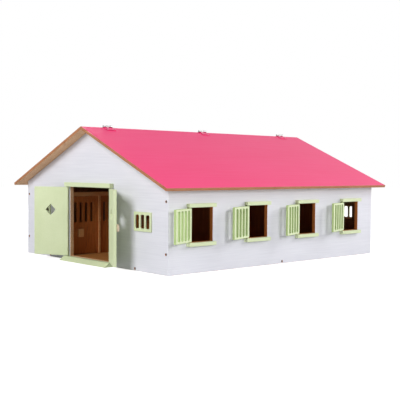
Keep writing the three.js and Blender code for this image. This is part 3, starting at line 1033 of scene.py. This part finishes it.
# A round shape turned about its placing's Z axis. The profile's points are radius and height,
# from a first to a last point on the axis.
def lathe(profile, placing):
    shape = bmesh.new()
    rings = []
    for radius, height in profile[1:-1]:
        rings.append([shape.verts.new((a, b, height)) for a, b in circle(radius)])
    for first, second in zip(rings, rings[1:]):
        for index in range(circle_steps):
            after = (index + 1) % circle_steps
            shape.faces.new((first[index], first[after], second[after], second[index]))
    for ring, (_, height) in ((rings[0], profile[0]), (rings[-1], profile[-1])):
        pole = shape.verts.new((0, 0, height))
        for index in range(circle_steps):
            shape.faces.new((pole, ring[index], ring[(index + 1) % circle_steps]))
    shape.transform(placing)
    bmesh.ops.recalc_face_normals(shape, faces=shape.faces)
    mesh = bpy.data.meshes.new("turned")
    shape.to_mesh(mesh)
    shape.free()
    return mesh


# A turned knob: a hollowed neck, a round rim and a slightly dished face
def add_knob(side):
    node = f"{side}_door_knob"
    low, high = closed_box(node)
    face = closed_box(f"{side}_door")[0].y
    radius = (high.z - low.z) / 2
    proud = face - low.y
    rim = knob_rim_rounding
    dish = proud - knob_dish_depth
    boss = proud - knob_dish_depth / 2
    profile = [
        (0, 0), (knob_neck_radius, 0), (knob_neck_radius - knob_neck_hollow, knob_neck_length / 2),
        (knob_neck_radius, knob_neck_length),
        *arc(radius - rim, knob_neck_length + rim, rim, -math.pi / 2, 0, knob_rim_steps),
        *arc(radius - rim, proud - rim, rim, 0, math.pi / 2, knob_rim_steps),
        (radius - rim - knob_dish_depth, dish), (knob_boss_radius, dish),
        (knob_boss_radius / 2, boss), (0, boss),
    ]
    middle = (low + high) / 2
    placing = Matrix.Translation((middle.x, face, middle.z)) @ across
    finish_node(node, [lathe(profile, placing)], [pale_wood])


# A slotted plate on the outside of a gable
def add_grille(node):
    low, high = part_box(node)
    slots = slot_row(low.x, high.x, grille_slot_pitch, lambda centre: square_slot(
        centre, low.z + grille_end_rail, high.z - grille_end_rail, grille_slot_width,
        grille_slot_corner,
    ))
    outer = rectangle(low.x, high.x, low.z, high.z)
    plate = cross_board(outer, low.y, high.y, paint_rounding, slots)
    finish_node(node, [plate], [green_paint])


# The rails above and below a window, each with a pin of its shutter
def add_window_rails(side, index):
    _, sill, top = window_span(side, index)
    shutter = f"{side}_shutter_{index}"
    low, high = closed_box(shutter)
    place = joint_of[body_of[shutter]]["pos_m"]
    for level, rail_start, pin_start, pin_end in (
        ("upper", top, high.z - pin_seat, top + pin_seat),
        ("lower", sill - window_rail_height, sill - pin_seat, low.z + pin_seat),
    ):
        node = f"{side}_window_{level}_rail_{index}"
        rail_low, rail_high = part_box(node)
        bar = block(
            (rail_low.x, rail_low.y, rail_start),
            (rail_high.x, rail_high.y, rail_start + window_rail_height), paint_rounding,
        )
        peg = pin(shutter_pin_radius, place[0], place[1], pin_start, pin_end)
        finish_node(node, [bar, peg], [green_paint])


# A slotted shutter
def add_shutter(side, index):
    node = f"{side}_shutter_{index}"
    low, high = closed_box(node)
    slots = slot_row(low.y, high.y, shutter_slot_pitch, lambda centre: square_slot(
        centre, low.z + shutter_end_rail, high.z - shutter_end_rail, shutter_slot_width,
        shutter_slot_corner,
    ))
    outer = rectangle(low.y, high.y, low.z, high.z)
    skin = wall_skin(Vector((side_sign[side], 0, 0)))
    leaf = length_board(outer, low.x, high.x, paint_rounding, slots, skin)
    # The slots' walls and the leaf's edges take the darker green, partly painted shade
    finish_node(node, [leaf], [green_paint, green_paint, green_edge_and_shade])


# A block of stall trim on one side of the house, given by its distances from the middle
def side_block(side, inner, outer, y0, y1, z0, z1, rounding):
    first, second = sorted((side_sign[side] * inner, side_sign[side] * outer))
    return block((first, y0, z0), (second, y1, z1), rounding, second_material)


# A slot of the stall fronts and gates
def stall_slot(centre):
    return round_slot(centre, stall_slot_bottom, stall_slot_top, stall_slot_width)


# A stall front: slotted boards between the gateways, a rail over them and a post by each gate
def add_stall_front(side):
    node = f"{side}_stall_front"
    low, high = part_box(node)
    proud, back = sorted((abs(low.x), abs(high.x)))
    board_face = proud + stall_trim_proud
    meshes = [side_block(
        side, proud, back, low.y, high.y, stall_rail_bottom, stall_top, stall_rounding,
    )]
    gates = [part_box(f"{side}_stall_gate_{index + 1}") for index in range(window_count[side])]
    for index, gate in enumerate(gates):
        gate_end = gate[1].y
        partition = f"{side}_partition_{index + 1}"
        bay_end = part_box(partition)[0].y if partition in frame["nodes"] else inner_half_length
        last = index + 1 == len(gates)
        start = gate_end + gate_hinge_gap
        end = high.y if last else gates[index + 1][0].y - gate_free_gap
        post_start = gate_end + stall_post_from_gate
        post_end = post_start + stall_post_width
        slots = slot_row(post_end, bay_end, stall_slot_pitch, stall_slot)
        meshes.append(length_board(
            rectangle(start, end, floor_top, stall_rail_bottom),
            side_sign[side] * board_face, side_sign[side] * back, stall_rounding, slots,
        ))
        meshes.append(side_block(
            side, proud, board_face, post_start, post_end, floor_top, stall_rail_bottom, stall_rounding,
        ))
    # The rail and posts take the paler trim, partly painted light
    finish_node(node, meshes, [brown_board, lit_stall_trim])


# A stall gate with its latch block and the pins that it turns on
def add_gate(side, index):
    node = f"{side}_stall_gate_{index}"
    low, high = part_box(node)
    back = max(abs(low.x), abs(high.x))
    proud = min(abs(low.x), abs(high.x))
    board_face = back - stall_board_thickness
    bottom = floor_top + gate_end_gap
    top = stall_rail_bottom - gate_end_gap
    slots = slot_row(low.y, high.y, stall_slot_pitch, stall_slot)
    leaf = length_board(
        rectangle(low.y, high.y, bottom, top),
        side_sign[side] * board_face, side_sign[side] * back, stall_rounding, slots,
    )
    latch_middle = low.y + latch_from_free_edge
    latch_top = stall_slot_bottom - latch_below_slots
    latch = side_block(
        side, proud, board_face, latch_middle - latch_width / 2, latch_middle + latch_width / 2,
        latch_top - latch_height, latch_top, latch_rounding,
    )
    place = joint_of[body_of[node]]["pos_m"]
    pins = [
        pin(gate_pin_radius, place[0], place[1], floor_top - pin_seat, bottom + pin_seat),
        pin(gate_pin_radius, place[0], place[1], top - pin_seat, stall_rail_bottom + pin_seat),
    ]
    # The latch takes the paler trim, partly painted light
    finish_node(node, [leaf, latch, *pins], [brown_board, lit_stall_trim])


# A board between two stalls, in the darker board of painted shade
def add_partition(node):
    low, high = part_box(node)
    finish_node(node, [block(low, high, stall_rounding)], [shaded_partition_board])


# The whole house
dress_node("floor_plate", floor_board)
gable("front_gable_wall", Vector((0, -1, 0)), True)
gable("rear_gable_wall", Vector((0, 1, 0)), False)
add_wall_screws()
add_ridge_hinges()
add_lintel()
add_ramp()
for end in ("front", "rear"):
    for side in ("left", "right"):
        add_grille(f"{end}_{side}_grille")
for side in ("left", "right"):
    side_wall(side)
    roof_panel(side)
    add_door(side)
    add_knob(side)
    add_stall_front(side)
    for index in range(1, window_count[side] + 1):
        add_window_rails(side, index)
        add_shutter(side, index)
        add_gate(side, index)
    for index in range(1, partition_count + 1):
        add_partition(f"{side}_partition_{index}")


# A soft square lamp aimed at the house, which may be left out of reflections
def softbox(name, place, size, power, in_gloss=True):
    lamp = bpy.data.lights.new(name, "AREA")
    lamp.shape = "SQUARE"
    lamp.size = size
    lamp.energy = power
    holder = bpy.data.objects.new(name, lamp)
    aim = Vector(lamp_target) - Vector(place)
    turn = aim.to_track_quat("-Z", "Y").to_matrix().to_4x4()
    holder.matrix_world = Matrix.Translation(place) @ turn
    holder.visible_camera = False
    holder.visible_glossy = in_gloss
    scene.collection.objects.link(holder)


# One value out of two
def combine(tree, operation, first, second):
    node = tree.nodes.new("ShaderNodeMath")
    node.operation = operation
    tree.links.new(first, node.inputs[0])
    tree.links.new(second, node.inputs[1])
    return node.outputs[0]


# 1 for the rays that reach the camera directly or through something clear, and 0 for others
def seen_directly(tree, rays):
    clear = rays.outputs["Is Transmission Ray"]
    return combine(tree, "MAXIMUM", rays.outputs["Is Camera Ray"], clear)


# The surround is white to look at. In reflections it is white near the horizon and dimmer overhead,
# and the light that it gives the object is the even ambient level.
def add_surround():
    world = bpy.data.worlds.new("surround")
    world.use_nodes = True
    tree = world.node_tree
    background = tree.nodes["Background"]
    background.inputs["Color"].default_value = (1, 1, 1, 1)
    rays = tree.nodes.new("ShaderNodeLightPath")
    straight = seen_directly(tree, rays)
    direction = tree.nodes.new("ShaderNodeTexCoord")
    split = tree.nodes.new("ShaderNodeSeparateXYZ")
    tree.links.new(direction.outputs["Generated"], split.inputs[0])
    dimming = spread(
        tree, split.outputs["Z"], 1, overhead_in_gloss, bright_band_height, dim_overhead_height,
    )
    reflected = combine(tree, "MULTIPLY", rays.outputs["Is Glossy Ray"], dimming)
    seen = combine(tree, "MAXIMUM", straight, reflected)
    tree.links.new(spread(tree, seen, ambient_level, 1, 0, 1), background.inputs["Strength"])
    scene.world = world


# The floor is white where nothing shades it, and keeps the object's shadow. Its glow grows with
# the distance from the house, where less of the lamps' light arrives.
def add_floor():
    material, tree, shader = new_material("studio_floor")
    shader.inputs["Base Color"].default_value = colour(floor_shade, floor_shade, floor_shade)
    shader.inputs["Roughness"].default_value = 1
    shader.inputs["Specular IOR Level"].default_value = 0
    shader.inputs["Emission Color"].default_value = (1, 1, 1, 1)
    place = tree.nodes.new("ShaderNodeTexCoord")
    distance = tree.nodes.new("ShaderNodeVectorMath")
    distance.operation = "LENGTH"
    tree.links.new(place.outputs["Object"], distance.inputs[0])
    glow = spread(tree, distance.outputs["Value"], floor_glow, 1, glow_start, glow_end)
    rays = tree.nodes.new("ShaderNodeLightPath")
    seen = combine(tree, "MAXIMUM", seen_directly(tree, rays), rays.outputs["Is Glossy Ray"])
    tree.links.new(combine(tree, "MULTIPLY", glow, seen), shader.inputs["Emission Strength"])
    half = floor_size / 2
    mesh = bpy.data.meshes.new("studio_floor")
    corners = [(-half, -half), (half, -half), (half, half), (-half, half)]
    mesh.from_pydata([(x, y, -floor_drop) for x, y in corners], [], [(0, 1, 2, 3)])
    mesh.materials.append(material)
    floor = bpy.data.objects.new("studio_floor", mesh)
    scene.collection.objects.link(floor)


softbox("front_lamp", front_lamp_place, front_lamp_size, front_lamp_power, in_gloss=False)
softbox("side_lamp", side_lamp_place, side_lamp_size, side_lamp_power)
softbox("rear_lamp", rear_lamp_place, rear_lamp_size, rear_lamp_power)
softbox("left_lamp", left_lamp_place, left_lamp_size, left_lamp_power)
add_surround()
add_floor()
scene.view_settings.view_transform = "Standard"
